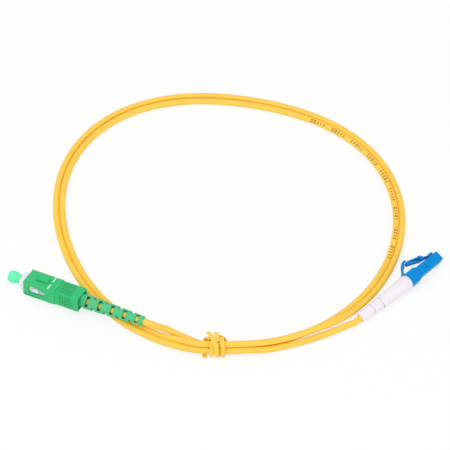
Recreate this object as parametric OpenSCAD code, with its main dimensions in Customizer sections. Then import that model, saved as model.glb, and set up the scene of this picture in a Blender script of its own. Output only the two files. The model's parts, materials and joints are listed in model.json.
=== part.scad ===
// Simplex fibre patch cord: an SC/APC plug with its dust cap, a looped jacketed cord
// held by a wire tie, and an LC plug. Millimetres, +Z up, lying on a table at z = 0.
// The origin is on the table under the middle of the box round the two plugs.

/* [Cord] */
// Outer diameter of the jacket
jacket_d = 2.8; // [2.4:0.1:3]
// Wall of the jacket
jacket_wall = 0.5; // [0.3:0.05:0.7]
// Diameter of the tight buffer round the fibre
buffer_d = 0.9; // [0.7:0.05:0.9]
// Diameter of the bare glass fibre
fibre_d = 0.125; // [0.1:0.005:0.125]
// Mean radius of the two loops
coil_r = 72.4; // [60:0.1:90]
// Radial step from the first loop to the second
coil_step = 3.1; // [3:0.05:4]
// Width of the soft wire that ties the cord
tie_w = 1.7; // [1.2:0.1:1.8]
// Thickness of the tie wire
tie_t = 0.8; // [0.6:0.05:1]
// Distance from one turn of the tie to the next
tie_pitch = 2.2; // [2.2:0.1:2.8]

/* [SC plug] */
// Width of the sliding grip, across its key face
grip_w = 9; // [8.9:0.05:9.1]
// Height of the sliding grip, without the key
grip_h = 7.4; // [7.3:0.05:7.5]
// Length of the sliding grip
grip_len = 26.1; // [24:0.1:28]
// Length of the wide front part of the grip
grip_nose = 15.1; // [14:0.1:16]
// Step down on each side to the rear part of the grip
grip_step = 0.22; // [0.1:0.02:0.3]
// Wall of the grip beside the plug frame
grip_wall = 0.9; // [0.7:0.05:1]
// Travel of the grip along the plug frame
grip_travel = 1.6; // [1:0.1:1.8]
// Width of the key on the grip
key_w = 2.45; // [2:0.05:2.6]
// Height of the key above the grip
key_h = 0.8; // [0.5:0.05:1]
// Distance that the plug frame stands out of the grip
frame_proud = 2.4; // [1.5:0.1:3]
// Length of the plug frame
frame_len = 15.4; // [14:0.1:16]
// Bore of the plug frame
frame_bore_d = 4.9; // [4.7:0.05:5]
// Diameter of the SC ferrule
sc_ferrule_d = 2.5; // [2.4:0.01:2.6]
// Distance that the SC ferrule stands out of the plug frame
sc_ferrule_proud = 1.2; // [0.5:0.1:1.6]
// Length of the SC ferrule
sc_ferrule_len = 10.5; // [10:0.1:11]
// Travel of the sprung SC ferrule
sc_float = 1; // [0.5:0.1:1]
// Diameter of the dust cap's bulb
cap_bulb_d = 5.4; // [4.5:0.1:6]
// Length of the dust cap's bulb
cap_bulb_len = 5; // [4:0.1:6]
// Outer diameter of the dust cap's neck
cap_neck_d = 3.65; // [3.4:0.05:4]

/* [LC plug] */
// Side of the square nose
nose_w = 4.52; // [4.5:0.01:4.54]
// Length of the front housing
nose_len = 14.1; // [13.5:0.1:15]
// Bore of the front cavity round the ferrule
nose_bore_d = 3.1; // [2.9:0.05:3.3]
// Diameter of the LC ferrule
lc_ferrule_d = 1.25; // [1.2:0.01:1.3]
// Length of the LC ferrule
lc_ferrule_len = 6.5; // [6:0.1:7]
// Distance of the ferrule tip behind the front of the nose
lc_ferrule_set = 0.3; // [0.1:0.05:0.6]
// Travel of the sprung LC ferrule
lc_float = 0.8; // [0.5:0.1:0.8]
// Width of the latch arm
latch_w = 3; // [2.5:0.1:3.4]
// Width across the latch shoulders
latch_wide = 4.4; // [4:0.1:4.5]
// Width of the trigger over the latch
trigger_w = 2.2; // [2:0.1:2.8]
// Length of the body behind the nose
body_len = 6.2; // [6:0.1:7]
// Width of the body behind the nose
body_w = 5.2; // [5:0.1:5.4]

/* [Boots] */
// Diameter of the SC boot at its front
sc_boot_d = 6.4; // [6:0.1:6.8]
// Diameter of the SC boot at its rear end
sc_boot_end_d = 4.25; // [4.1:0.05:4.6]
// Length of the SC boot behind its collar
sc_boot_len = 27.3; // [25:0.1:30]
// Length of one window in the SC boot
window_len = 1.6; // [1.4:0.1:2]
// Distance from one window to the next
window_pitch = 5.8; // [5.6:0.1:5.9]
// Diameter of the LC boot at its front
lc_boot_d = 6.7; // [6.4:0.1:7]
// Diameter of the LC boot at its rear end
lc_boot_end_d = 4.3; // [4.1:0.05:4.6]
// Length of the LC boot
lc_boot_len = 28.1; // [26:0.1:30]

/* [Crimps] */
// Diameter of the crimp barrel on each stop body
barrel_d = 3; // [2.8:0.05:3.1]
// Wall of the crimp sleeves
crimp_wall = 0.35; // [0.3:0.05:0.4]
// Thickness of the aramid yarn under a crimp sleeve
yarn_t = 0.24; // [0.15:0.01:0.3]

/* [Hidden] */
$fn = 64;
// clearances: bonded or pressed pieces, sliding pieces, and loose pieces
bond = 0.02;
slip = 0.05;
loose = 0.1;
jacket_r = jacket_d / 2;
// where the plugs lie: the middle of the front face, then turn about X, Y and Z
sc_pos = [-84.4, 4.2, 4.47];
sc_rot = [-10.6, -2.4, -24.8];
lc_pos = [92.54, 19.24, 2.85];
lc_rot = [73, -2.2, 225.26];
lc_boot_pos = [78.4, 4.8, 3.52];
lc_boot_rot = [0, 2.45, 221.8];

// a matrix for the same turns as rotate(), so that the cord's points can use them
function turn_x(a) = [[1, 0, 0], [0, cos(a), -sin(a)], [0, sin(a), cos(a)]];
function turn_y(a) = [[cos(a), 0, sin(a)], [0, 1, 0], [-sin(a), 0, cos(a)]];
function turn_z(a) = [[cos(a), -sin(a), 0], [sin(a), cos(a), 0], [0, 0, 1]];
function put(p, pos, rot) = pos + turn_z(rot[2]) * (turn_y(rot[1]) * (turn_x(rot[0]) * p));
function on_sc(x) = put([x, 0, 0], sc_pos, sc_rot);
function on_lc(x) = put([x, 0, 0], lc_pos, lc_rot);
function unit(v) = v / norm(v);
function ease(a, b, x) = let (t = min(1, max(0, (x - a) / (b - a)))) t * t * (3 - 2 * t);

// ---- lengths along the SC plug, from the front face of the grip backwards
frame_x0 = -frame_proud;
frame_x1 = frame_x0 + frame_len;
web_x0 = 3.2;
web_t = 0.8;
sc_tip_x = frame_x0 - sc_ferrule_proud;
flange_x0 = web_x0 + web_t + slip;
flange_t = 1.6;
flange_x1 = flange_x0 + 5.5;
sc_stop_x = flange_x1 + sc_float + slip;
sc_shoulder = 1.6;
sc_body_x1 = 20;
sc_barrel_len = 5.6;
sc_barrel_x1 = sc_body_x1 + sc_barrel_len;
sc_jacket_x = sc_barrel_x1 + loose;
sc_collar_x = sc_body_x1 + 0.2;
sc_boot_x = grip_len + grip_travel + 0.2;
sc_boot_x1 = sc_boot_x + sc_boot_len;
// how far the rows of windows are turned about the boot
window_turn = 135;
// ---- lengths along the LC plug, from the tip of the nose backwards
lc_web_x0 = 5;
lc_web_t = 0.8;
lc_flange_x0 = lc_web_x0 + lc_web_t + slip;
lc_flange_t = 1.35;
lc_flange_x1 = lc_flange_x0 + 4.5;
lc_stop_x = lc_flange_x1 + lc_float + slip;
lc_body_x1 = nose_len + body_len;
lc_barrel_x1 = lc_body_x1 + 4.7;
lc_jacket_x = lc_barrel_x1 + loose;
lc_kink_x = lc_jacket_x + 3;
lc_chamber_d = 3.5;
// rings round the LC boot
ring_x = [16.2, 21.1];
ring_w = 0.35;
// room round the LC ferrule for the sleeve of an adapter
sleeve_room = 0.6;
// groove on a ferrule, in which the glue of its flange sets, and the lip behind it
glue_depth = 0.2;
glue_lip = 0.3;
crimp_tail = 3;
spring_wire = 0.5;
lc_spring_wire = 0.36;
// outer radii at the crimps
yarn_r = barrel_d / 2 + bond + yarn_t;
crimp_r = yarn_r + bond + crimp_wall;
crimp_small_r = jacket_r + 0.03 + crimp_wall;

// ---- the two loops: u counts turns from the tie, th is the angle round the middle
coil_mid = [2, 43.7];
tie_th = 265;
cord_z = jacket_r;
tie_lift = tie_t + 0.25;
climb = 0.9 * jacket_d;
side_step = coil_step + 0.2;
// the tie draws the loops in by this much
dent = 0.95;
function th(u) = tie_th + 360 * u;
function outline(a) = coil_r - 1.2 * cos(a) - 0.3 * sin(a) + 1.6 * cos(2 * a) - 2.1 * sin(2 * a)
  + 1.1 * cos(3 * a) + 1.6 * sin(3 * a) - 0.5 * cos(4 * a) - dent * (1 - ease(0, 17, gap_to(a, 272)));
function gap_to(a, b) = abs((a - b + 540) % 360 - 180);
// 1 at the tie, falling to 0 on either side of it, where the cord is back on the table
function near_tie(u) = 1 - ease(4, 27, 360 * abs(u - round(u)));
// 1 where the second loop rides on the other two strands at the tie
function on_top(u) = ease(-19, -4, 360 * (u - 1)) * (1 - ease(30, 65, 360 * (u - 1)));
function spread(a) = coil_step + 0.8 * pow(max(0, cos(a - 118)), 3);
function offset_r(u) = u < 0.9 ? 0
  : u < 1.02 ? 0.46 * side_step * ease(-14, -2, 360 * (u - 1))
  : u < 1.17 ? 0.46 * side_step + (coil_step - 0.46 * side_step) * ease(24, 48, 360 * (u - 1))
  : u < 1.6 ? spread(th(u)) : spread(th(u)) + (side_step - coil_step) * ease(1.7, 1.9, u);
function coil_at(u) = let (a = th(u),
    r = outline(a) + offset_r(u) + 0.84 * tie_lift * near_tie(u))
  [coil_mid[0] + r * cos(a), coil_mid[1] + r * sin(a),
   cord_z + tie_lift * near_tie(u) + climb * on_top(u)];
coil_u0 = 11 / 360;
coil_u1 = 2 + 11 / 360;
// one loop has 24 steps, and the rise over the bundle at the tie has shorter ones
coil_us = concat([for (a = [18:15:318]) a / 360], [for (a = [327:7:348]) a / 360],
  [for (a = [353:5:393]) a / 360], [for (a = [401:9:428]) a / 360],
  [for (a = [438:15:708]) a / 360], [for (a = [716]) a / 360], [for (a = [723]) a / 360]);
function dir_at(u) = unit(coil_at(u + 0.001) - coil_at(u - 0.001));
coil_p0 = coil_at(coil_u0);
coil_p1 = coil_at(coil_u1);
coil_d0 = dir_at(coil_u0);
coil_d1 = dir_at(coil_u1);
coil_pts = concat([coil_p0, coil_p0 + jacket_d * coil_d0], [for (u = coil_us) coil_at(u)],
  [coil_p1 - jacket_d * coil_d1, coil_p1]);

// ---- the free ends: route points chosen by hand between a boot and the loops
sc_tail_mid = [[-31.8, -20.1, 6.8], [-29.2, -20.8, 6], [-26.6, -20.8, 4.7], [-24, -20.9, 3.4],
  [-21.3, -21.8, 2.5], [-16.2, -24.3, 2.1], [-11, -27.2, 2.4],
  [-7, -28.25, 2.45], [-2.5, -28.6, 2.45]];
lc_tail_mid = [[17.6, -30.1, 1.8], [23.4, -28.6, 1.5], [28.5, -27.1, 1.4], [33.6, -25.4, 1.4],
  [38.7, -23.4, 1.4], [43.8, -21.2, 1.4], [48.9, -18.7, 1.5], [52.2, -17.1, 1.7], [55, -15.9, 1.95]];
lc_exit = put([lc_boot_len, 0, 0], lc_boot_pos, lc_boot_rot);
sc_tail_pts = concat([on_sc(sc_jacket_x), on_sc(sc_boot_x1)], sc_tail_mid,
  [coil_p0 - jacket_d * coil_d0, coil_p0]);
lc_tail_pts = concat([coil_p1, coil_p1 + jacket_d * coil_d1], lc_tail_mid,
  [lc_exit, on_lc(lc_kink_x), on_lc(lc_jacket_x)]);
buffer_pts = concat([on_sc(flange_x1 - 0.9)], [for (i = [0:len(sc_tail_pts) - 2]) sc_tail_pts[i]],
  coil_pts, [for (i = [1:len(lc_tail_pts) - 1]) lc_tail_pts[i]], [on_lc(lc_flange_x1 - 0.9)]);
function run(p) = [for (i = [1:len(p) - 1]) norm(p[i] - p[i - 1])];
function total(v, i = 0) = i >= len(v) ? 0 : v[i] + total(v, i + 1);

// ---- tubes: rings of points along a route, joined by triangles
function heading(p, i) = unit(i == 0 ? p[1] - p[0] : i == len(p) - 1 ? p[i] - p[i - 1]
  : unit(p[i + 1] - p[i]) + unit(p[i] - p[i - 1]));
function level_ring(p, i, r, n) = let (t = heading(p, i), s = unit(cross(t, [0, 0, 1])),
    u = cross(s, t))
  [for (k = [0:n - 1]) p[i] + r * (cos(90 + 360 * k / n) * s + sin(90 + 360 * k / n) * u)];
// a flat section whose thin side faces the axis through c along ax
function strap_ring(p, i, c, ax, w, t, n) = let (h = heading(p, i), d = p[i] - c,
    out = d - (d * ax) * ax, nn = unit(out - (out * h) * h), b = cross(h, nn))
  [for (k = [0:n - 1]) p[i] + w / 2 * cos(360 * k / n) * b + t / 2 * sin(360 * k / n) * nn];
function wall_faces(m, n, at, flip) = [for (i = [0:m - 2], k = [0:n - 1], h = [0, 1])
  let (a = at + i * n + k, b = at + i * n + (k + 1) % n, c = b + n, d = a + n,
    f = h == 0 ? [a, b, c] : [a, c, d]) flip ? [f[2], f[1], f[0]] : f];
function disc_faces(n, at, flip) = [for (k = [1:n - 2])
  flip ? [at, at + k, at + k + 1] : [at, at + k + 1, at + k]];
function rim_faces(n, at, to, flip) = [for (k = [0:n - 1], h = [0, 1])
  let (a = at + (k + 1) % n, b = at + k, c = to + k, d = to + (k + 1) % n,
    f = h == 0 ? [a, b, c] : [a, c, d]) flip ? [f[2], f[1], f[0]] : f];
module skin(rings) {
  m = len(rings);
  n = len(rings[0]);
  polyhedron(points = [for (g = rings) for (p = g) p],
    faces = concat(wall_faces(m, n, 0, false), disc_faces(n, 0, false),
      disc_faces(n, (m - 1) * n, true)));
}
module pipe(p, r_out, r_in, n) {
  m = len(p);
  polyhedron(points = concat([for (i = [0:m - 1]) for (q = level_ring(p, i, r_out, n)) q],
      [for (i = [0:m - 1]) for (q = level_ring(p, i, r_in, n)) q]),
    faces = concat(wall_faces(m, n, 0, false), wall_faces(m, n, m * n, true),
      rim_faces(n, 0, m * n, false), rim_faces(n, (m - 1) * n, (2 * m - 1) * n, true)));
}

// ---- solids along a plug's own X
module sc() translate(sc_pos) rotate(sc_rot) children();
module lc() translate(lc_pos) rotate(lc_rot) children();
module rod(x0, x1, r) translate([x0, 0, 0]) rotate([0, 90, 0]) cylinder(h = x1 - x0, r = r);
module turned(profile) rotate([0, 90, 0]) rotate_extrude() polygon(profile);
module rounded(w, h, r) {
  square([w, h - 2 * r], center = true);
  square([w - 2 * r, h], center = true);
  for (x = [-1, 1], y = [-1, 1]) translate([x * (w / 2 - r), y * (h / 2 - r)]) circle(r = r, $fn = 32);
}
module bar(x0, x1, w, h, r) translate([x0, 0, 0]) rotate([90, 0, 90])
  linear_extrude(x1 - x0) rounded(w, h, r);
module block(x0, x1, y0, y1, z0, z1) translate([x0, y0, z0]) cube([x1 - x0, y1 - y0, z1 - z0]);
module slab(profile, w) translate([0, w / 2, 0]) rotate([90, 0, 0]) linear_extrude(w) polygon(profile);
module coil_spring(x0, x1, r, wire, turns) {
  n = 8 * turns;
  p = [for (i = [0:n]) [x0 + wire / 2 + (x1 - x0 - wire) * i / n, r * cos(45 * i), r * sin(45 * i)]];
  skin([for (i = [0:n]) strap_ring(p, i, [0, 0, 0], [1, 0, 0], wire, wire, 6)]);
}

// ---- SC plug
module sc_grip() {
  in_w = frame_w() + 2 * loose;
  in_h = frame_h() + 2 * loose;
  rear_w = grip_w - 2 * grip_step;
  rear_h = grip_h - 2 * grip_step;
  rib_h = 0.2;
  color([0.24, 0.78, 0.47]) sc() difference() {
    union() {
      bar(0, grip_nose, grip_w, grip_h, 0.4);
      bar(grip_nose - 0.5, grip_len, rear_w, rear_h, 0.4);
      block(4.4, 9.95, -key_w / 2, key_w / 2, grip_h / 2 - 0.3, grip_h / 2 + key_h);
      for (i = [0:7], s = [-1, 1]) {
        block(16.1 + 0.8 * i, 16.5 + 0.8 * i, -3.5, 3.5, s * rear_h / 2 - rib_h, s * rear_h / 2 + rib_h);
        block(16.9 + 0.8 * i, 17.3 + 0.8 * i, s * rear_w / 2 - rib_h, s * rear_w / 2 + rib_h, -2.4, 2.4);
      }
    }
    bar(-1, grip_nose, in_w, in_h, 0.3);
    bar(grip_nose - 1.5, grip_len + 1, rear_w - 1.3, rear_h - 1, 0.3);
    // side windows that show the plug frame
    for (s = [-1, 1]) {
      block(2.4, 7, s * 4 - 2, s * 4 + 2, -1.7, 2.2);
      block(6.9, 10.1, s * 4 - 2, s * 4 + 2, -1.5, 1);
      block(0.8, 7.65, s * grip_w / 2 - 0.25, s * grip_w / 2 + 0.25, -3.1, -2.3);
    }
    // shallow pockets for the marks
    for (s = [-1, 1]) mark(s, 0.03, 0.2, 1);
    // bevel along the lower front edge
    translate([0, 0, -grip_h / 2]) rotate([0, 45, 0]) cube([1, grip_w + 2, 1], center = true);
  }
}
module mark(s, gap, deep, tall) block(11.2 - gap, 11.8 + gap, s > 0 ? 1 - gap : -4.1 - gap,
  s > 0 ? 4.1 + gap : -1 + gap, grip_h / 2 - deep, grip_h / 2 + tall);
module sc_marks() color([0.95, 0.96, 0.97]) sc() for (s = [-1, 1]) mark(s, 0, 0.2, 0.05);
function frame_w() = grip_w - 2 * (grip_wall + 0.1) - 2 * loose;
function frame_h() = grip_h - 2 * grip_wall - 2 * loose;
module sc_plug_frame() {
  color([0.92, 0.92, 0.96]) sc() difference() {
    union() {
      bar(frame_x0, frame_x1, frame_w(), frame_h(), 0.3);
      // catches that stand in the grip's windows
      for (s = [-1, 1]) block(2.6 + grip_travel, 7, s * frame_w() / 2 - 0.55,
        s * frame_w() / 2 + 0.55, -1.2, 0.8);
    }
    rod(frame_x0 - 1, web_x0, frame_bore_d / 2);
    rod(web_x0 - 1, frame_x1, sc_ferrule_d / 2 + 0.2);
    rod(web_x0 + web_t, frame_x1 + 1, frame_bore_d / 2);
    // relief along the two lower corners, beside the grip's windows
    for (s = [-1, 1]) block(2.8, 10.4, s * frame_w() / 2 - 0.8, s * frame_w() / 2 + 0.8,
      -frame_h() / 2 - 1, -frame_h() / 2 + 0.85);
    // the two upper corners are cut off at the front
    for (s = [-1, 1]) translate([frame_x0 - 1, s * frame_w() / 2, frame_h() / 2]) rotate([45, 0, 0])
      translate([0, -0.65, -0.65]) cube([3.2, 1.3, 1.3]);
    // slot in the lower front edge
    block(frame_x0 - 1, frame_x0 + 1.6, -1.2, 1.2, -frame_h() / 2 - 1, -frame_h() / 2 + 0.4);
  }
}
// a ferrule with a bevelled tip, held by its flange from x1 back
module ferrule(x0, x1, d, len, bevel) turned([[fibre_d / 2 + 0.0025, x0], [d / 2 - 0.6 * bevel, x0],
  [d / 2, x0 + bevel], [d / 2, x1], [d / 2 - glue_depth, x1], [d / 2 - glue_depth, x0 + len - glue_lip],
  [d / 2, x0 + len - glue_lip], [d / 2, x0 + len], [fibre_d / 2 + 0.0025, x0 + len]]);
module sc_ferrule() color([0.97, 0.97, 0.95]) sc()
  ferrule(sc_tip_x, flange_x0, sc_ferrule_d, sc_ferrule_len, 0.5);
module sc_flange() {
  seat = sc_tip_x + sc_ferrule_len;
  hole = buffer_d / 2 + slip;
  color([0.8, 0.72, 0.45]) sc() difference() {
    union() {
      rod(flange_x0, flange_x0 + flange_t, frame_bore_d / 2 - slip);
      rod(flange_x0, flange_x1, sc_ferrule_d / 2 + 0.25);
    }
    rod(flange_x0 - 1, seat, sc_ferrule_d / 2 + bond);
    rod(seat - 1, flange_x1 + 1, hole);
  }
}
module sc_fibre() color([0.75, 0.85, 0.9]) sc()
  rod(sc_tip_x, flange_x1 - 0.9 - sc_float - slip, fibre_d / 2, $fn = 24);
module sc_spring() color([0.6, 0.61, 0.63]) sc()
  coil_spring(flange_x0 + flange_t + slip, sc_stop_x - slip, sc_ferrule_d / 2 + 0.7, spring_wire, 6);
module sc_stop_body() {
  color([0.86, 0.87, 0.86]) sc() difference() {
    union() {
      rod(sc_stop_x, frame_x1 + 0.1, frame_bore_d / 2 - slip);
      bar(frame_x1 + slip, frame_x1 + sc_shoulder, frame_w() - 0.4, frame_h() - 0.3, 0.3);
      rod(frame_x1 + 1, sc_body_x1, 2.6);
      rod(sc_body_x1 - 1, sc_barrel_x1, barrel_d / 2);
    }
    rod(sc_stop_x - 1, sc_stop_x + sc_float + 0.2, sc_ferrule_d / 2 + 0.25 + loose);
    rod(sc_stop_x, sc_body_x1, buffer_d / 2 + 0.5 + bond);
    rod(sc_body_x1 - 1, sc_barrel_x1 + 1, buffer_d / 2 + 0.15);
  }
}
module sc_guide_tube() color([0.93, 0.93, 0.9]) sc() difference() {
  rod(sc_stop_x + sc_float + 0.3, sc_body_x1 - slip, buffer_d / 2 + 0.5);
  rod(sc_stop_x, sc_body_x1 + 1, buffer_d / 2 + 0.1);
}
module yarn(x0, x1) difference() {
  rod(x0, x1, yarn_r);
  rod(x0 - 1, x1 + 1, barrel_d / 2 + bond);
}
// a stepped sleeve: wide over the barrel, which ends at x1, and narrow over the jacket
module crimp(x0, x1) difference() {
  union() {
    rod(x0, x1 + slip + crimp_wall, crimp_r);
    rod(x1, x1 + crimp_tail, crimp_small_r);
  }
  rod(x0 - 1, x1 + slip, yarn_r + bond);
  rod(x0, x1 + crimp_tail + 1, jacket_r + 0.03);
}
module crimp_room(x0, x1) {
  rod(x0, x1 + crimp_wall + 2 * slip, crimp_r + slip);
  rod(x0, x1 + crimp_tail + slip, crimp_small_r + slip);
}
module sc_yarn() color([0.95, 0.84, 0.3]) sc() yarn(sc_body_x1 + 0.3, sc_barrel_x1 - 0.8);
module sc_crimp() color([0.72, 0.73, 0.75]) sc() crimp(sc_body_x1 + 0.3, sc_barrel_x1);
module sc_boot() {
  first = sc_boot_x + 1.5;
  gap = window_pitch * sc_boot_len / 27.3;
  color([0.35, 0.82, 0.58]) sc() difference() {
    turned([[0, sc_collar_x], [2.9, sc_collar_x], [2.9, sc_boot_x], [sc_boot_d / 2 - 0.1, sc_boot_x],
      [sc_boot_d / 2, sc_boot_x + 0.25], [sc_boot_end_d / 2, sc_boot_x1 - 0.2],
      [sc_boot_end_d / 2 - 0.2, sc_boot_x1], [0, sc_boot_x1]]);
    crimp_room(sc_collar_x - 1, sc_barrel_x1);
    rod(sc_collar_x, sc_boot_x1 + 1, jacket_r + slip);
    // four rows of windows: two rows of five, and two rows of four halfway between them
    for (i = [0:4], row = [0, 180]) window(first + gap * i, window_turn + row);
    for (i = [0:3], row = [90, 270]) window(first + gap * (i + 0.5), window_turn + row);
  }
}
// a slot that goes a quarter of the way round the boot, down to the cord
module window(x, turn) {
  half_w = 0.74 * (sc_boot_d / 2 - (sc_boot_d - sc_boot_end_d) / 2 * (x - sc_boot_x) / sc_boot_len);
  rotate([turn, 0, 0]) block(x - window_len / 2, x + window_len / 2, 0.8, 4, -half_w, half_w);
}
module sc_dust_cap() {
  r = cap_bulb_d / 2;
  x1 = frame_x0 - 1.9;
  x0 = x1 - cap_bulb_len;
  color([0.43, 1, 0.75]) sc() difference() {
    turned([[0, x0], [0.5 * r, x0], [0.8 * r, x0 + 0.3], [0.96 * r, x0 + 0.9], [r, x0 + 1.7],
      [0.98 * r, x1 - 2], [0.9 * r, x1 - 1.3], [0.78 * r, x1 - 0.7], [cap_neck_d / 2 + 0.08, x1],
      [cap_neck_d / 2, x1 + 0.3], [cap_neck_d / 2, web_x0 - 1.6], [0, web_x0 - 1.6]]);
    rod(sc_tip_x - 0.4, web_x0, sc_ferrule_d / 2 + bond);
  }
}

// ---- LC plug: X back from the nose, Z towards the latch
half = nose_w / 2;
latch_hinge = [3.9, half + 0.8];
trigger_hinge = [lc_body_x1 - 0.4, half + 1.04];
hinge_r = 0.45;
body_top = half + 0.64;
body_low = -half - 0.78;
module lc_housing() {
  color([0.07, 0.57, 0.88]) lc() difference() {
    union() {
      bar(0.3, nose_len, nose_w, nose_w, 0.25);
      bar(0, 0.5, nose_w - 0.4, nose_w - 0.4, 0.2);
      block(1.7, latch_hinge[0], -latch_w / 2, latch_w / 2, half - 0.3, half + 1.2);
      block(latch_hinge[0] - 1, latch_hinge[0] + 0.5, -latch_w / 2, latch_w / 2, half - 0.3, half + 0.2);
    }
    rod(-1, lc_web_x0, nose_bore_d / 2);
    rod(lc_web_x0 - 1, nose_len, lc_ferrule_d / 2 + sleeve_room);
    rod(lc_web_x0 + lc_web_t, nose_len + 1, lc_chamber_d / 2);
    translate([latch_hinge[0], 5, latch_hinge[1]]) rotate([90, 0, 0])
      cylinder(h = 10, r = hinge_r + slip, $fn = 32);
    block(latch_hinge[0] - 0.12, latch_hinge[0] + 2, -5, 5, latch_hinge[1], half + 2);
    // grooves across the two sides
    for (s = [-1, 1]) block(8.7, 9.1, s * half - 0.25, s * half + 0.25, -1.1, 1.15);
  }
}
module lc_latch() {
  x = latch_hinge[0];
  z = latch_hinge[1];
  color([0.07, 0.57, 0.88]) lc() {
    translate([x, latch_w / 2, z]) rotate([90, 0, 0]) cylinder(h = latch_w, r = hinge_r, $fn = 32);
    slab([[x, z - 0.3], [6.3, half + 0.85], [8.3, half + 1.2], [11.3, half + 2.2], [14.5, half + 3.25],
      [14.8, half + 3.45], [14.4, half + 4.6], [13.85, half + 4.52], [7.8, half + 3.05], [7.1, half + 2.1],
      [5.1, half + 1.05], [x, z + 0.3]], latch_w);
    slab([[6.9, half + 1], [8.5, half + 1.3], [8.8, half + 3.2], [7.8, half + 3.05], [7, half + 2.05]],
      latch_wide);
  }
}
module lc_body() {
  color([0.07, 0.57, 0.88]) lc() difference() {
    union() {
      rod(lc_stop_x, nose_len + 1, lc_chamber_d / 2 - slip);
      slab([[nose_len + slip, body_low + 0.6], [nose_len + 0.7, body_low], [lc_body_x1, body_low],
        [lc_body_x1, body_top], [nose_len + 0.8, body_top], [nose_len + slip, body_top - 0.5]], body_w);
      rod(lc_body_x1 - 1, lc_barrel_x1, barrel_d / 2);
      // ears that carry the trigger
      for (s = [-1, 1]) translate([trigger_hinge[0], s * (trigger_w / 2 + 0.4) + 0.35, 0])
        rotate([90, 0, 0]) {
          translate([0, trigger_hinge[1], 0]) cylinder(h = 0.7, r = 0.38, $fn = 32);
          translate([-0.38, body_top - 0.5, 0]) cube([0.76, trigger_hinge[1] - body_top + 0.5, 0.7]);
        }
    }
    rod(lc_stop_x - 1, lc_stop_x + lc_float + 0.2, lc_ferrule_d / 2 + 0.325 + loose);
    rod(lc_stop_x, lc_body_x1, buffer_d / 2 + 0.45 + bond);
    rod(lc_body_x1 - 1, lc_barrel_x1 + 1, buffer_d / 2 + 0.15);
  }
}
module lc_trigger() {
  x = trigger_hinge[0];
  z = trigger_hinge[1];
  color([0.07, 0.57, 0.88]) lc() {
    translate([x, trigger_w / 2, z]) rotate([90, 0, 0]) cylinder(h = trigger_w, r = 0.38, $fn = 32);
    slab([[x - 0.3, z - 0.15], [x + 0.25, z - 0.1], [x + 0.3, z + 0.2], [18.75, half + 2.7],
      [17.2, half + 4.5], [15.6, half + 5.7], [14.6, half + 5.75], [14.1, half + 5.5],
      [14.1, half + 4.85], [15.35, half + 4.9], [15.85, half + 4.15], [16.85, half + 3.2],
      [18.3, half + 2.4]], trigger_w);
  }
}
module lc_ferrule() color([0.97, 0.97, 0.95]) lc()
  ferrule(lc_ferrule_set, lc_flange_x0, lc_ferrule_d, lc_ferrule_len, 0.3);
module lc_flange() {
  seat = lc_ferrule_set + lc_ferrule_len;
  color([0.8, 0.72, 0.45]) lc() difference() {
    union() {
      rod(lc_flange_x0, lc_flange_x0 + lc_flange_t, lc_chamber_d / 2 - slip);
      rod(lc_flange_x0, lc_flange_x1, lc_ferrule_d / 2 + 0.325);
    }
    rod(lc_flange_x0 - 1, seat, lc_ferrule_d / 2 + bond);
    rod(seat - 1, lc_flange_x1 + 1, buffer_d / 2 + slip);
  }
}
module lc_fibre() color([0.75, 0.85, 0.9]) lc()
  rod(lc_ferrule_set, lc_flange_x1 - 0.9 - lc_float - slip, fibre_d / 2, $fn = 24);
module lc_spring() color([0.6, 0.61, 0.63]) lc()
  coil_spring(lc_flange_x0 + lc_flange_t + slip, lc_stop_x - slip, lc_ferrule_d / 2 + 0.72,
    lc_spring_wire, 6);
module lc_guide_tube() color([0.93, 0.93, 0.9]) lc() difference() {
  rod(lc_stop_x + lc_float + 0.3, lc_body_x1 - slip, buffer_d / 2 + 0.45);
  rod(lc_stop_x, lc_body_x1 + 1, buffer_d / 2 + 0.1);
}
module lc_yarn() color([0.95, 0.84, 0.3]) lc() yarn(lc_body_x1 + 0.5, lc_barrel_x1 - 0.8);
module lc_crimp() color([0.72, 0.73, 0.75]) lc() crimp(lc_body_x1 + 0.5, lc_barrel_x1);
// the boot leans a few degrees off the plug's axis: bored along the plug, then to its own end
module lc_boot() {
  kink = on_lc(lc_kink_x - 0.4);
  v = lc_exit - kink;
  color([0.94, 0.91, 0.95]) difference() {
    translate(lc_boot_pos) rotate(lc_boot_rot) difference() {
      turned([[0, -1], [lc_boot_d / 2, -1], [lc_boot_d / 2, 4], boot_edge(ring_x[0]),
        boot_edge(ring_x[0], 0.3), boot_edge(ring_x[0] + ring_w, 0.3), boot_edge(ring_x[0] + ring_w),
        boot_edge(ring_x[1]), boot_edge(ring_x[1], 0.3), boot_edge(ring_x[1] + ring_w, 0.3),
        boot_edge(ring_x[1] + ring_w), [lc_boot_end_d / 2, lc_boot_len - 0.3],
        [lc_boot_end_d / 2 - 0.3, lc_boot_len], [0, lc_boot_len]]);
      // notches on two sides behind each ring, which let the boot bend
      for (x = ring_x, turn = [-28, 152]) rotate([turn, 0, 0])
        block(x + 1.5, x + 2, boot_edge(x)[0] - 0.6, lc_boot_d, -1, 1);
    }
    lc() {
      rod(lc_body_x1 - 9, lc_body_x1 + loose, 12);
      crimp_room(lc_body_x1 - 1, lc_barrel_x1);
    }
    translate(kink) sphere(r = jacket_r + 1.5 * loose);
    translate(kink) rotate([0, acos(v[2] / norm(v)), atan2(v[1], v[0])])
      cylinder(h = norm(v) + 2, r = jacket_r + loose);
  }
}
function boot_edge(x, deep = 0) = [lc_boot_d / 2 - deep
  - (lc_boot_d - lc_boot_end_d) / 2 * ease(0, 1, (x - 4) / (lc_boot_len - 4.3)), x];

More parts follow.
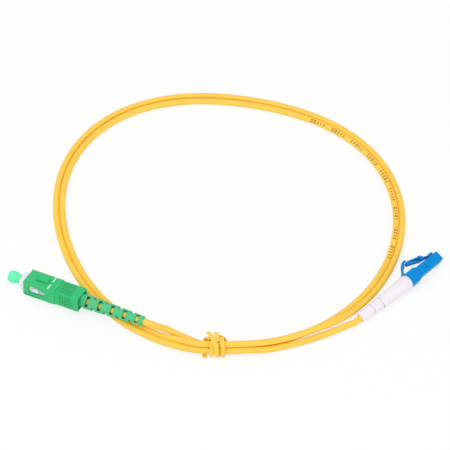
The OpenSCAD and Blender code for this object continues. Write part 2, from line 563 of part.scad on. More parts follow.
// ---- the cord
cord_rgb = [0.99, 0.82, 0.31];
module cable_sc_tail() color(cord_rgb) pipe(sc_tail_pts, jacket_r, jacket_r - jacket_wall, 8);
module cable_lc_tail() color(cord_rgb) pipe(lc_tail_pts, jacket_r, jacket_r - jacket_wall, 8);
module cable_coil() {
  echo(cord_length_mm = total(run(buffer_pts)), coil_length_mm = total(run(coil_pts)),
    coil_gap_mm = coil_gap(), coil_rings = len(coil_pts));
  color(cord_rgb) pipe(coil_pts, jacket_r, jacket_r - jacket_wall, 6);
}
// least gap between the two loops' six-sided sections, on points along their edges
function edge_pts(u) = let (p = [coil_at(u - 0.002), coil_at(u), coil_at(u + 0.002)],
    g = level_ring(p, 1, jacket_r, 6))
  [for (k = [0:5], f = [0:0.25:0.75]) g[k] + f * (g[(k + 1) % 6] - g[k])];
function coil_gap() = min([for (a = [13:6:367]) let (g = edge_pts(a / 360), h = edge_pts(a / 360 + 1))
  min([for (p = g) for (q = h) norm(p - q)])]);
module cable_buffer() color([0.97, 0.95, 0.85]) skin([for (i = [0:len(buffer_pts) - 1])
  level_ring(buffer_pts, i, buffer_d / 2, 6)]);

// ---- the tie: three fronts round the bundle of three strands, one end up and one end low
tie_out = [cos(tie_th), sin(tie_th), 0];
tie_run = [-sin(tie_th), cos(tie_th), 0];
tie_r = outline(tie_th) + 0.84 * tie_lift;
tie_z = cord_z + tie_lift;
tie_c = [coil_mid[0], coil_mid[1], 0];
function tie_at(s, r, z) = tie_c + s * tie_run + r * tie_out + [0, 0, z];
tie_off = jacket_r + tie_t / 2 + 0.08;
// the middle of strand k, as radius and height, at the distance s along the bundle
function strand(k, s) = let (p = coil_at(k + s / (2 * PI * tie_r)))
  [norm([p[0] - coil_mid[0], p[1] - coil_mid[1]]), p[2]];
// the strand that reaches furthest towards the angle a
function far(a, s) = let (q = [for (k = [0:2]) strand(k, s)], d = [for (p = q) p * [cos(a), sin(a)]])
  d[0] >= d[1] && d[0] >= d[2] ? q[0] : d[1] >= d[2] ? q[1] : q[2];
// the tie's turns: the angle round the bundle, the pitches along it, and how loose it lies there
tie_keys = [[130, -1.4, 2.75], [122, -1.1, 2.35], [109, -0.65, 2], [90, -0.3, 1.75], [75, 0, 1.5],
  [45, 0.4, 1.25], [10, 0.7, 0.5], [-20, 0.75, 0.1], [-90, 0.75, 0], [-180, 1.05, 0.1],
  [-225, 1.2, 0.85], [-255, 1.35, 0.9], [-290, 1.55, 0.4], [-315, 1.7, 0.1], [-450, 1.8, 0],
  [-495, 1.9, 0.2], [-540, 1.8, 0.8], [-555, 1.5, 1.35], [-570, 0.95, 1.8], [-578, 0.55, 2.45],
  [-585, 0.25, 2.75], [-598, 0.1, 1.6], [-615, -0.15, 0.25], [-645, -0.3, 0.1], [-690, -0.35, 0],
  [-750, -0.4, 0.25], [-810, -0.4, 0], [-870, -0.75, 0.1], [-900, -0.95, 0.15], [-930, -1.2, 0.5]];
function tie_key(a, k) = lookup(a, [for (q = tie_keys) [q[0], q[k]]]);
function wrap(a) = let (s = tie_pitch * tie_key(a, 1), q = far(a, s),
    off = tie_off + (tie_t + 0.4) * tie_key(a, 2))
  tie_at(s, q[0] + off * cos(a), q[1] + off * sin(a));
tie_turns = concat([130, 122, 116], [for (a = [109:-9:64]) a], [for (a = [55:-15:-530]) a],
  [for (a = [-540:-7.5:-570]) a], [for (a = [-574:-4:-590]) a], [for (a = [-598:-8:-622]) a],
  [for (a = [-630:-15:-930]) a]);
tie_low = tie_t / 2 + 0.1;
// from the last turn the tie comes down to the table and lies there with its end outwards
tie_pts = concat([for (a = tie_turns) wrap(a)], [tie_at(-3.4, tie_r - 2.5, tie_z + 1.6),
  tie_at(-4, tie_r - 2.7, tie_z + 0.4), tie_at(-4.1, tie_r - 2.5, 1.5),
  tie_at(-4.1, tie_r - 1.8, tie_low + 0.15), tie_at(-4.1, tie_r - 0.9, tie_low),
  tie_at(-4, tie_r + 1.5, tie_low), tie_at(-3.9, tie_r + 4.2, tie_low),
  tie_at(-3.8, tie_r + 5.3, tie_low + 0.2)]);
tie_mid = tie_at(0, tie_r + side_step / 2, tie_z + climb / 3);
function tie_ring(i) = strap_ring(tie_pts, i, tie_mid, tie_run, tie_w, tie_t, 6);
// least gap of the tie to itself, on points along the edges of its sections
function tie_edge(i) = let (g = tie_ring(i))
  [for (k = [0:5], f = [0, 0.5]) g[k] + f * (g[(k + 1) % 6] - g[k])];
function tie_gap() = let (e = [for (i = [0:len(tie_pts) - 1]) tie_edge(i)])
  min([for (i = [0:len(e) - 1], j = [i + 6:1:len(e) - 1]) if (norm(tie_pts[i] - tie_pts[j]) < 4)
    min([for (p = e[i]) for (q = e[j]) norm(p - q)])]);
module cable_tie() {
  echo(tie_gap_mm = tie_gap(), tie_rings = len(tie_pts));
  color([0.98, 0.84, 0.29]) skin([for (i = [0:len(tie_pts) - 1]) tie_ring(i)]);
}

sc_grip();
sc_marks();
sc_plug_frame();
sc_ferrule();
sc_flange();
sc_fibre();
sc_spring();
sc_stop_body();
sc_guide_tube();
sc_yarn();
sc_crimp();
sc_boot();
sc_dust_cap();
lc_housing();
lc_latch();
lc_body();
lc_trigger();
lc_ferrule();
lc_flange();
lc_fibre();
lc_spring();
lc_guide_tube();
lc_yarn();
lc_crimp();
lc_boot();
cable_sc_tail();
cable_coil();
cable_lc_tail();
cable_buffer();
cable_tie();
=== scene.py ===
# %% [markdown]
# # Dressing a fibre patch cord
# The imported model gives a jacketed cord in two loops, held by a wire tie, with a push-pull plug on one
# end and a small latched plug on the other. Its solids have the right sizes and joints, so this lesson
# leaves them in place and adds what the eye looks for: soft moulded edges, a round jacket, satin and
# glossy plastics, and even light.

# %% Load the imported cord
import json
import math

import bmesh
import bpy
import numpy as np
from mathutils import Matrix, Vector


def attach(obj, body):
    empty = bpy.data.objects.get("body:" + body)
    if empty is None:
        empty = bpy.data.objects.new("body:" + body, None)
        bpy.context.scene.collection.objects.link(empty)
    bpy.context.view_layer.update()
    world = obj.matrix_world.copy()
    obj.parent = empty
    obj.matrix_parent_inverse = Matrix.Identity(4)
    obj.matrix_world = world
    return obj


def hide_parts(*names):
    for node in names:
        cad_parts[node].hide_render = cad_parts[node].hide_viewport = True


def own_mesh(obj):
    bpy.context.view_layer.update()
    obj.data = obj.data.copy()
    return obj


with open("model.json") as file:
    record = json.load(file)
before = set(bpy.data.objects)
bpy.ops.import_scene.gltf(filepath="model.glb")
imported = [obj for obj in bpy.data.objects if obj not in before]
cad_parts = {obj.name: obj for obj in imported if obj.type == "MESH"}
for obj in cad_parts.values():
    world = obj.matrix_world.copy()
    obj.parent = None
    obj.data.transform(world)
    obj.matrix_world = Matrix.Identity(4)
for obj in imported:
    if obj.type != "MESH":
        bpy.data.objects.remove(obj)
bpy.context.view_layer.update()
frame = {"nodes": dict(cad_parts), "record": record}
MM = 0.001

# %% [markdown]
# ## The camera
# The cord lies flat, so a long lens half way up from the table shows the loops as a near circle and
# still shows the sides of the plugs. A long lens stands far away, which keeps both plugs at one scale.

# %% Set the camera above the near edge of the table
AIM = Vector((0, 39.7, 0)) * MM
CAMERA_TILT = math.radians(50)
CAMERA_AWAY = 1.0
FILM_MM, LENS_MM = 36, 181.6
lens = bpy.data.cameras.new("table lens")
lens.sensor_width = FILM_MM
lens.lens = LENS_MM
lens.clip_start = 0.05
lens.clip_end = 60
camera = bpy.data.objects.new("table camera", lens)
camera.location = AIM + CAMERA_AWAY * Vector((0, -math.cos(CAMERA_TILT), math.sin(CAMERA_TILT)))
camera.rotation_euler = (math.radians(90) - CAMERA_TILT, 0, 0)
bpy.context.scene.collection.objects.link(camera)
bpy.context.scene.camera = camera
print("camera at", tuple(round(x, 4) for x in camera.location))

# %% [markdown]
# ## Where the plugs lie
# Each plug is modelled along its own X, from its front face back. A position and three turns put it on
# the table, so one matrix per plug places whatever is built in the plug's own millimetres.

# %% One matrix for each plug and one for the small boot, which leans off its plug's axis
def placed(at, turns):
    roll, pitch, yaw = (math.radians(a) for a in turns)
    turn = Matrix.Rotation(yaw, 4, "Z") @ Matrix.Rotation(pitch, 4, "Y") @ Matrix.Rotation(roll, 4, "X")
    return Matrix.Translation(Vector(at)) @ turn


big_plug = placed((-84.4, 4.2, 4.47), (-10.6, -2.4, -24.8))
small_plug = placed((92.54, 19.24, 2.85), (73, -2.2, 225.26))
small_boot = placed((78.4, 4.8, 3.52), (0, 2.45, 221.8))
print("big plug points to", [round(-x, 3) for x in big_plug.col[0][:3]])

# %% [markdown]
# ## The cord's route
# A cord is a fixed length of something flexible. It leaves the big plug's boot, comes down to the
# table, runs two loops, passes over itself once at the tie, and ends in the small plug's boot. The
# loops follow one formula: a radius that changes a little with the angle, plus small steps where the
# second loop lies beside or on the first. All sizes are in millimetres until the mesh is made.

# %% The loops as a formula
JACKET = 2.8
LOOPS_AT = (2, 43.7)
LOOP_R = 72.4
TIE_ANGLE = 265
# how far the tie lifts the strands off the table, and how far out that pushes them
LIFT = 1.05
PUSH = 0.84 * LIFT
# where the tie draws the loops in, and by how much
PINCH_AT, PINCH = 272, 0.95
# from one loop to the next, sideways: whole, and as a share where one strand climbs over the other
STEP = 2.81
CLIMB_SHARE = 0.46
# how much further apart the loops lie on the side away from the tie
SPREAD, SPREAD_AT = 0.6, 103


# an even step from 0 at a to 1 at b
def ease(a, b, x):
    t = min(1, max(0, (x - a) / (b - a)))
    return t * t * (3 - 2 * t)


def wave(kind, k, a):
    return kind(math.radians(k * a))


# a is an angle in degrees, and u counts turns from the tie
def loop_radius(a):
    from_pinch = abs((a - PINCH_AT + 540) % 360 - 180)
    return (LOOP_R - 1.2 * wave(math.cos, 1, a) - 0.3 * wave(math.sin, 1, a) + 1.6 * wave(math.cos, 2, a)
            - 2.1 * wave(math.sin, 2, a) + 1.1 * wave(math.cos, 3, a) + 1.6 * wave(math.sin, 3, a)
            - 0.5 * wave(math.cos, 4, a) - PINCH * (1 - ease(0, 17, from_pinch)))


def beside(u, height):
    if u < 0.9:
        return 0
    if u < 1.02:
        return min(CLIMB_SHARE * STEP, STEP - math.sqrt(STEP ** 2 - height ** 2))
    if u < 1.17:
        return (CLIMB_SHARE + (1 - CLIMB_SHARE) * ease(24, 48, 360 * (u - 1))) * STEP
    return STEP + SPREAD * max(0, wave(math.cos, 1, TIE_ANGLE + 360 * u - SPREAD_AT)) ** 3


# near a whole turn the tie lifts the strand, and the second loop climbs onto the first and down again
def loop_point(u):
    a = TIE_ANGLE + 360 * u
    at_tie = 1 - ease(4, 27, 360 * abs(u - round(u)))
    on_top = ease(-19, -4, 360 * (u - 1)) * (1 - ease(30, 65, 360 * (u - 1)))
    height = 0.9 * JACKET * on_top
    r = loop_radius(a) + beside(u, height) + PUSH * at_tie
    return np.array([LOOPS_AT[0] + r * wave(math.cos, 1, a), LOOPS_AT[1] + r * wave(math.sin, 1, a),
                     JACKET / 2 + LIFT * at_tie + height])


print("loops are", round(2 * loop_radius(0)), "mm across, two turns")

# %% [markdown]
# The free ends are drawn through a few listed points. A Catmull-Rom curve passes through every
# point and has no kinks, which is how a springy cord lies.

# %% The two tails, and the whole route
def on_plug(matrix, x):
    return np.array(matrix @ Vector((x, 0, 0)))


# a curve through the points, drawn on steps of about gap millimetres
def through(points, gap=1.5):
    p = [2 * points[0] - points[1], *points, 2 * points[-1] - points[-2]]
    out = []
    for a, b, c, d in zip(p, p[1:], p[2:], p[3:]):
        n = max(1, round(np.linalg.norm(c - b) / gap))
        ka, kb = (np.linalg.norm(c - b) / max(1e-6, np.linalg.norm(v)) for v in (c - a, d - b))
        for t in np.arange(n) / n:
            out.append((2 * t**3 - 3 * t**2 + 1) * b + (t**3 - 2 * t**2 + t) * ka * (c - a)
                       + (3 * t**2 - 2 * t**3) * c + (t**3 - t**2) * kb * (d - b))
    return out + [points[-1]]


# on the big plug's axis: where the jacket starts, half way down the boot, and the boot's end
BIG_START, BIG_MIDDLE, BIG_BOOT_END = 25.7, 40, 55.2
# along the small boot to its end, and on the small plug's axis: past the crimp, and the jacket's end
SMALL_BOOT_LEN, SMALL_CRIMP, SMALL_STOP = 28.1, 28.1, 25.1
# the loops start this many degrees past the tie, and are drawn on this many points
LOOPS_FROM, LOOP_POINTS = 11, 481
BIG_TAIL = np.array([
    [-31.8, -20.1, 6.8], [-29.2, -20.8, 6], [-26.6, -20.8, 4.7], [-24, -20.9, 3.4], [-21.3, -21.8, 2.5],
    [-16.2, -24.3, 2.1], [-11, -27.2, 2.4], [-7, -28.25, 2.45], [-2.5, -28.6, 2.45]])
SMALL_TAIL = np.array([
    [17.6, -30.1, 1.8], [23.4, -28.6, 1.5], [28.5, -27.1, 1.4], [33.6, -25.4, 1.4], [38.7, -23.4, 1.4],
    [43.8, -21.2, 1.4], [48.9, -18.7, 1.5], [52.2, -17.1, 1.7], [55, -15.9, 1.95]])
loops = [loop_point(u) for u in np.linspace(LOOPS_FROM / 360, 2 + LOOPS_FROM / 360, LOOP_POINTS)]
big_end = [on_plug(big_plug, x) for x in (BIG_START, BIG_MIDDLE, BIG_BOOT_END)]
small_end = [on_plug(small_boot, SMALL_BOOT_LEN), *(on_plug(small_plug, x) for x in (SMALL_CRIMP, SMALL_STOP))]
route = through([*big_end, *BIG_TAIL, loops[0]])[:-1] + loops[:-1]
route += through([loops[-1], *SMALL_TAIL, *small_end])
route = np.array(route)


def run(points):
    return np.r_[0, np.cumsum(np.linalg.norm(np.diff(points, axis=0), axis=1))]


print("the jacket is", round(run(route)[-1]), "mm long, drawn on", len(route), "points")

# %% [markdown]
# ## Small helpers
# Node trees are easier to read as a list of steps, so one helper adds a node, sets it and wires it. It
# serves the shaders and the geometry trees alike. Colours are written as a screen shows them, from 0
# to 255, and turned into the linear values that a shader takes.

# %% Helpers for node trees
def step(tree, kind, wires=(), **settings):
    node = tree.nodes.new(kind)
    for key, value in settings.items():
        setattr(node, key, value)
    for key, value in dict(wires).items():
        if isinstance(value, bpy.types.NodeSocket):
            tree.links.new(value, node.inputs[key])
        else:
            node.inputs[key].default_value = value
    return node


def linear(*screen):
    return tuple((c / 255 / 12.92 if c <= 10 else ((c / 255 + 0.055) / 1.055) ** 2.4) for c in screen) + (1,)


def maths(tree, operation, *values):
    return step(tree, "ShaderNodeMath", dict(enumerate(values)), operation=operation).outputs[0]


print("mid grey 188 is", round(linear(188)[0], 2), "in linear light")

# %% [markdown]
# ## Plastics, rubbers and metals
# Moulded plastic is never quite one colour: it drifts by a percent or two, its gloss changes with it,
# and the mould leaves a faint grain. Two noise textures do that, one broad for the tone and one fine
# for the bump. Both read Object coordinates, so the pattern stays put when a plug moves. Some moulded
# finishes also get painted shade: their colour darkens where the shell's own walls close in on a spot,
# as in grooves and slots. The base values sit on the shader's own sockets.

# %% One maker for all the finishes
# painted shade: how near the walls have to be to darken a spot, how much at most, and towards which dark tone
RECESS_REACH, DARKEST, SHADE_TONE = 1.2, 0.9, (20, 20, 20)


def finish(name, tone, rough, drift=0.03, patch=6, grain=0.25, depth=0.004, recess=0, **sockets):
    material = bpy.data.materials.new(name)
    material.use_nodes = True
    tree = material.node_tree
    shader = tree.nodes["Principled BSDF"]
    shader.inputs["Roughness"].default_value = rough
    for key, value in sockets.items():
        shader.inputs[key.replace("_", " ")].default_value = value
    place = step(tree, "ShaderNodeTexCoord").outputs["Object"]
    broad = step(tree, "ShaderNodeTexNoise", {"Vector": place, "Scale": 1 / (patch * MM), "Detail": 3})
    ramp = step(tree, "ShaderNodeValToRGB", {"Fac": broad.outputs[0]})
    for stop, where, k in zip(ramp.color_ramp.elements, (0.3, 0.7), (1 - drift, 1 + drift)):
        stop.position = where
        stop.color = [min(1, c * k) for c in linear(*tone)[:3]] + [1]
    tree.links.new(ramp.outputs[0], shader.inputs["Base Color"])
    # painted shade: the base colour is darkened towards a dark tone where the shell's own walls close in, as in
    # grooves and slots
    if recess:
        walls = step(tree, "ShaderNodeAmbientOcclusion", {"Distance": RECESS_REACH * MM},
                     only_local=True, samples=8)
        closed_share = maths(tree, "SUBTRACT", 1, walls.outputs["AO"])
        painted_shade_share = maths(tree, "MINIMUM", maths(tree, "MULTIPLY", closed_share, recess), DARKEST)
        painted_shade_mix = step(tree, "ShaderNodeMixRGB", {"Fac": painted_shade_share, "Color1": ramp.outputs[0],
                                                 "Color2": linear(*SHADE_TONE)})
        tree.links.new(painted_shade_mix.outputs[0], shader.inputs["Base Color"])
    fine = step(tree, "ShaderNodeTexNoise", {"Vector": place, "Scale": 1 / (grain * MM), "Detail": 4})
    bump = step(tree, "ShaderNodeBump", {"Height": fine.outputs[0], "Strength": 1, "Distance": depth * MM})
    tree.links.new(bump.outputs[0], shader.inputs["Normal"])
    return material


# name, colour, roughness, and whatever else the plastic, metal or thread shows, such as how strongly painted
# shade darkens its hollows
KINDS = (
    ("grip green", (33, 196, 116), 0.42, dict(recess=0.35)),
    ("boot green", (72, 199, 136), 0.55, dict(depth=0.006, recess=1.5)),
    ("cap mint", (105, 252, 185), 0.45, dict(Subsurface_Weight=0.3, Subsurface_Scale=0.002)),
    ("frame white", (240, 238, 252), 0.38, dict(recess=0.7)),
    ("mark white", (212, 250, 236), 0.5, {}),
    ("shell blue", (0, 142, 218), 0.36, dict(recess=0.5, Specular_IOR_Level=0.12)),
    ("boot white", (246, 238, 247), 0.5, dict(drift=0.015, depth=0.006, recess=0.35)),
    ("ceramic", (247, 247, 242), 0.12, dict(drift=0.01, depth=0.0005, Coat_Weight=0.5)),
    ("flange brass", (212, 190, 128), 0.3, dict(Metallic=1.0)),
    ("spring steel", (180, 182, 186), 0.3, dict(Metallic=1.0)),
    ("stop nickel", (214, 214, 210), 0.32, dict(Metallic=1.0)),
    ("crimp alloy", (190, 192, 196), 0.45, dict(grain=0.15, depth=0.01, Metallic=1.0)),
    ("liner", (238, 238, 230), 0.5, {}),
    ("glass thread", (225, 238, 244), 0.05, dict(depth=0.0001, Transmission_Weight=0.6)),
    ("buffer ivory", (248, 244, 222), 0.5, {}),
    ("aramid", (240, 214, 92), 0.6, dict(drift=0.08, patch=1, Sheen_Weight=0.4)),
    # the tie's faint orange emission is a painted glow, since the tie is no lamp
    ("tie yellow", (246, 209, 74), 0.4, dict(Emission_Color=linear(255, 160, 10), Emission_Strength=0.06)),
)
FINISHES = {name: finish(name, tone, rough, **more) for name, tone, rough, more in KINDS}
print(len(FINISHES), "finishes:", ", ".join(sorted(FINISHES)))

# %% [markdown]
# ## The jacket's finish
# The jacket is extruded, and the maker prints a row of small ink ticks along one side of it. The tube
# carries its own map, the distance along the cord and the sine and cosine of the angle round it, so the
# ticks follow every bend. They stand in groups, and each tick draws its size by chance.

# %% Extruded yellow jacket with ink ticks
# where the ticks start and end, in metres along the jacket
INK_FROM, INK_TO = 0.156, 0.256
# the pitch of the ticks in mm, the pitches in a group, and how much of a group has ticks
TICK_PITCH, TICK_GROUP, GROUP_SHARE = 1.6, 7, 0.7
INK = (146, 96, 34)


def jacket_finish():
    # the faint orange emission is a painted glow that brightens the jacket, which is no lamp
    material = finish("jacket yellow", (242, 204, 74), 0.42, patch=9, grain=0.5, depth=0.004,
                      Emission_Color=linear(255, 150, 10), Emission_Strength=0.1)
    tree = material.node_tree
    shader = tree.nodes["Principled BSDF"]
    along, turn_c, turn_s = (step(tree, "ShaderNodeAttribute", attribute_name=name).outputs["Fac"]
                             for name in ("along", "turn_c", "turn_s"))
    cell = maths(tree, "DIVIDE", along, TICK_PITCH * MM)
    number = maths(tree, "FLOOR", cell)
    chance = step(tree, "ShaderNodeTexWhiteNoise", {"W": number}, noise_dimensions="1D").outputs[0]
    # half a tick's size, in radians round the jacket and in pitches along it; some ticks are hollow
    tall = maths(tree, "ADD", 0.35, maths(tree, "MULTIPLY", chance, 0.25))
    wide = maths(tree, "ADD", 0.14, maths(tree, "MULTIPLY", chance, 0.2))
    across = maths(tree, "ABSOLUTE", maths(tree, "ARCTAN2", turn_s, turn_c))
    middle = maths(tree, "ABSOLUTE", maths(tree, "SUBTRACT", maths(tree, "FRACT", cell), 0.5))

    def both(one, other):
        return maths(tree, "MULTIPLY", one, other)

    mark = both(maths(tree, "LESS_THAN", across, tall), maths(tree, "LESS_THAN", middle, wide))
    hollow = both(maths(tree, "LESS_THAN", across, 0.22), maths(tree, "LESS_THAN", middle, 0.12))
    mark = maths(tree, "SUBTRACT", mark, both(hollow, maths(tree, "GREATER_THAN", chance, 0.3)))
    in_group = maths(tree, "FRACT", maths(tree, "DIVIDE", number, TICK_GROUP))
    group = maths(tree, "LESS_THAN", in_group, GROUP_SHARE)
    span = both(maths(tree, "GREATER_THAN", along, INK_FROM), maths(tree, "LESS_THAN", along, INK_TO))
    ink = both(both(mark, group), span)
    plain = shader.inputs["Base Color"].links[0].from_socket
    inked = step(tree, "ShaderNodeMixRGB", {"Fac": ink, "Color1": plain, "Color2": linear(*INK)})
    tree.links.new(inked.outputs[0], shader.inputs["Base Color"])
    return material


FINISHES["jacket yellow"] = jacket_finish()
print("ink ticks run from", INK_FROM, "to", INK_TO, "m along the jacket")

# %% [markdown]
# ## Sweeping a section along a path
# The jacket, the buffer in it and the wire tie are all one section swept along a path, which is what
# Curve to Mesh does. The path is a string of points with two attributes: how far along it each one is,
# and which way its section faces. One tree with named inputs then makes all three.

# %% The sweeping tree
def new_tree(name, sizes):
    tree = bpy.data.node_groups.new(name, "GeometryNodeTree")
    for way in ("INPUT", "OUTPUT"):
        tree.interface.new_socket("Geometry", in_out=way, socket_type="NodeSocketGeometry")
    for label, kind in sizes.items():
        tree.interface.new_socket(label, in_out="INPUT", socket_type="NodeSocket" + kind)
    return tree, tree.nodes.new("NodeGroupInput"), tree.nodes.new("NodeGroupOutput")


def end_tree(tree, geometry, given, out):
    whole = step(tree, "GeometryNodeRealizeInstances", {"Geometry": geometry})
    shaded = step(tree, "GeometryNodeSetShadeSmooth", {0: whole.outputs[0], "Shade Smooth": True})
    dressed = step(tree, "GeometryNodeSetMaterial", {0: shaded.outputs[0], "Material": given.outputs["Finish"]})
    tree.links.new(dressed.outputs[0], out.inputs[0])


def filled_tube(tree, curve, section):
    wires = {"Curve": curve, "Profile Curve": section, "Fill Caps": True}
    return step(tree, "GeometryNodeCurveToMesh", wires).outputs[0]


sweep, given, out = new_tree("sweep a section", {"Width": "Float", "Thickness": "Float", "Sides": "Int",
                                                 "Finish": "Material"})
line = step(sweep, "GeometryNodeMeshToCurve", {0: given.outputs[0]})
faces = step(sweep, "GeometryNodeInputNamedAttribute", {"Name": "faces"}, data_type="FLOAT_VECTOR")
line = step(sweep, "GeometryNodeSetCurveNormal", {"Curve": line.outputs[0], "Normal": faces.outputs[0]},
            mode="FREE")
ring = step(sweep, "GeometryNodeCurvePrimitiveCircle", {"Resolution": given.outputs["Sides"], "Radius": 0.5})
turn = maths(sweep, "MULTIPLY", step(sweep, "GeometryNodeSplineParameter").outputs["Factor"], 2 * math.pi)
section = ring.outputs[0]
for label, kind in (("turn_c", "COSINE"), ("turn_s", "SINE")):
    section = step(sweep, "GeometryNodeStoreNamedAttribute",
                   {"Geometry": section, "Name": label, "Value": maths(sweep, kind, turn)}).outputs[0]
size = step(sweep, "ShaderNodeCombineXYZ", {"X": given.outputs["Thickness"], "Y": given.outputs["Width"],
                                            "Z": 1})
section = step(sweep, "GeometryNodeTransform", {"Geometry": section, "Scale": size.outputs[0]})
end_tree(sweep, filled_tube(sweep, line.outputs[0], section.outputs[0]), given, out)
print("sweeping tree has", len(sweep.nodes), "nodes")

# %% [markdown]
# A tree only makes a mesh once an object wears it. The next helper puts it on a path, sets its inputs
# by their identifiers, takes the evaluated result as a plain mesh, and drops the modifier, because a
# finished piece must stand on its own mesh.

# %% Grow a plain mesh from a tree
def path_mesh(points, facing):
    points = np.array(points)
    heading = np.gradient(points, axis=0)
    heading /= np.linalg.norm(heading, axis=1)[:, None]
    facing = np.array(facing) - heading * np.sum(np.array(facing) * heading, axis=1)[:, None]
    facing /= np.linalg.norm(facing, axis=1)[:, None]
    mesh = bpy.data.meshes.new("path")
    mesh.from_pydata((points * MM).tolist(), [(i, i + 1) for i in range(len(points) - 1)], [])
    mesh.attributes.new("along", "FLOAT", "POINT").data.foreach_set("value", run(points) * MM)
    mesh.attributes.new("faces", "FLOAT_VECTOR", "POINT").data.foreach_set("vector", facing.ravel())
    return mesh


def grow(name, tree, source=None, matrix=None, **inputs):
    piece = bpy.data.objects.new(name, source or bpy.data.meshes.new(name))
    bpy.context.scene.collection.objects.link(piece)
    modifier = piece.modifiers.new("grow", "NODES")
    modifier.node_group = tree
    for item in tree.interface.items_tree:
        if item.in_out == "INPUT" and item.name in inputs:
            modifier[item.identifier] = inputs[item.name]
    piece.update_tag()
    graph = bpy.context.evaluated_depsgraph_get()
    mesh = bpy.data.meshes.new_from_object(piece.evaluated_get(graph))
    piece.modifiers.clear()
    if matrix is not None:
        mesh.transform(Matrix.Scale(MM, 4) @ matrix @ Matrix.Scale(1 / MM, 4))
    piece.data = mesh
    print(name, "has", sum(len(p.vertices) - 2 for p in mesh.polygons), "triangles")
    return piece


# %% [markdown]
# ## The jacket and the buffer
# The jacket is one tube from crimp to crimp. The thin buffer runs on inside it and out at both ends,
# into the flange of each ferrule, so it shows only when a plug is taken apart.

# %% The jacket and the buffer in it
BUFFER = 0.9
# where the buffer ends in each plug's flange
BIG_FLANGE, SMALL_FLANGE = 8.65, 9.45
# the side of the jacket that the ink is on
INK_SIDE = np.array([0, -0.643, 0.766])


def round_cord(name, points, across, sides, finish_name):
    return grow(name, sweep, path_mesh(points, [INK_SIDE] * len(points)), Width=across * MM,
                Thickness=across * MM, Sides=sides, Finish=FINISHES[finish_name])


jacket = round_cord("jacket", route, JACKET, 24, "jacket yellow")
core_route = np.array([on_plug(big_plug, BIG_FLANGE), *route[1:-1], on_plug(small_plug, SMALL_FLANGE)])
buffer = round_cord("buffer", core_route, BUFFER, 10, "buffer ivory")
for piece, slot in ((jacket, "jacket"), (buffer, "buffer")):
    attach(piece, "cord")
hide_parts("cable_sc_tail", "cable_coil", "cable_lc_tail")
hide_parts("cable_buffer")

# %% [markdown]
# ## The wire tie
# A soft plastic-coated wire goes three times round the bundle. Its path is worked out from the
# strands: at each angle it stands one jacket radius and half its own thickness off the strand that
# reaches furthest that way. Its ends are bent by hand: one up over the bundle, one down to the table.

# %% The path of the tie
TIE_W, TIE_T, TIE_PITCH = 2, 0.8, 2.2
# room between the tie and a strand, and how far off it stands for each unit of looseness
TIE_ROOM, TIE_LOOSE = 0.08, TIE_T + 0.4
tie_a = math.radians(TIE_ANGLE)
outward = np.array([math.cos(tie_a), math.sin(tie_a), 0])
onward = np.array([-math.sin(tie_a), math.cos(tie_a), 0])
tie_r = loop_radius(TIE_ANGLE) + PUSH
tie_z = JACKET / 2 + LIFT
tie_off = JACKET / 2 + TIE_T / 2 + TIE_ROOM
hub = np.array([*LOOPS_AT, 0])
# the angle round the bundle, the pitches along it, and how loose the tie lies there
TIE_TURNS = np.array([
    [130, -1.4, 2.75], [122, -1.1, 2.35], [109, -0.65, 2], [90, -0.3, 1.75], [75, 0, 1.5], [45, 0.4, 1.25],
    [10, 0.7, 0.5], [-20, 0.75, 0.4], [-50, 0.75, 0.1], [-90, 0.75, 0], [-180, 1.05, 0.1], [-225, 1.2, 0.85],
    [-255, 1.35, 0.9], [-290, 1.55, 0.4], [-315, 1.7, 0.1], [-345, 1.73, 0.4], [-375, 1.76, 0.4],
    [-405, 1.78, 0.1], [-450, 1.8, 0], [-495, 1.9, 0.2], [-540, 1.8, 0.8], [-555, 1.5, 1.3],
    [-570, 0.95, 1.55], [-578, 0.45, 2.1], [-585, 0.15, 2.55], [-590, 0.2, 2.3], [-598, 0.45, 1.5],
    [-607, 0.4, 0.8], [-622, -0.03, 0.25], [-645, -0.3, 0.1], [-690, -0.35, 0.1], [-705, -0.36, 0.4],
    [-735, -0.38, 0.4], [-765, -0.4, 0.1], [-810, -0.4, 0], [-870, -0.75, 0.1], [-900, -0.95, 0.15],
    [-930, -1.2, 0.5]])


# s runs along the bundle, r out from the middle of the loops, and z up from the table
def at_tie(s, r, z):
    return hub + s * onward + r * outward + np.array([0, 0, z])


def strand(k, s):
    p = loop_point(k + s / (2 * math.pi * tie_r))
    return np.array([math.hypot(p[0] - LOOPS_AT[0], p[1] - LOOPS_AT[1]), p[2]])


def wrap(a):
    pitches, loose = (np.interp(-a, -TIE_TURNS[:, 0], TIE_TURNS[:, k]) for k in (1, 2))
    s = TIE_PITCH * pitches
    way = np.array([wave(math.cos, 1, a), wave(math.sin, 1, a)])
    r, z = max((strand(k, s) for k in range(3)), key=lambda q: q @ way)
    off = tie_off + TIE_LOOSE * loose
    return at_tie(s, r + off * way[0], z + off * way[1])


angles = [130, 122, 116, *range(109, 63, -9), *range(55, -540, -15), -540, -547.5, -555, -562.5, -570,
          -574, -578, -582, -586, -590, -598, -606, -614, -622, *range(-630, -931, -15)]
low = TIE_T / 2 + 0.1
# the end that goes under the bundle: along it, out from it, and the height above the table
LAST_END = ((-3.4, -2.5, tie_z + 1.6), (-4, -2.7, tie_z + 0.4), (-4.1, -2.5, 1.5), (-4.1, -1.8, low + 0.15),
            (-4.1, -0.9, low), (-4, 1.5, low), (-3.9, 4.2, low), (-3.8, 5.3, low + 0.2))
last_end = [at_tie(s, tie_r + r, z) for s, r, z in LAST_END]
tie_path = np.array(through([wrap(a) for a in angles] + last_end, 0.4))
# the flat of the tie faces away from the middle of the bundle
bundle = at_tie(0, tie_r + STEP / 2, tie_z + 0.3 * JACKET)
away = tie_path - bundle
away -= np.outer(away @ onward, onward)
tie = grow("tie", sweep, path_mesh(tie_path, away), Width=TIE_W * MM, Thickness=TIE_T * MM, Sides=12,
           Finish=FINISHES["tie yellow"])
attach(tie, "cord")
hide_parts("cable_tie")
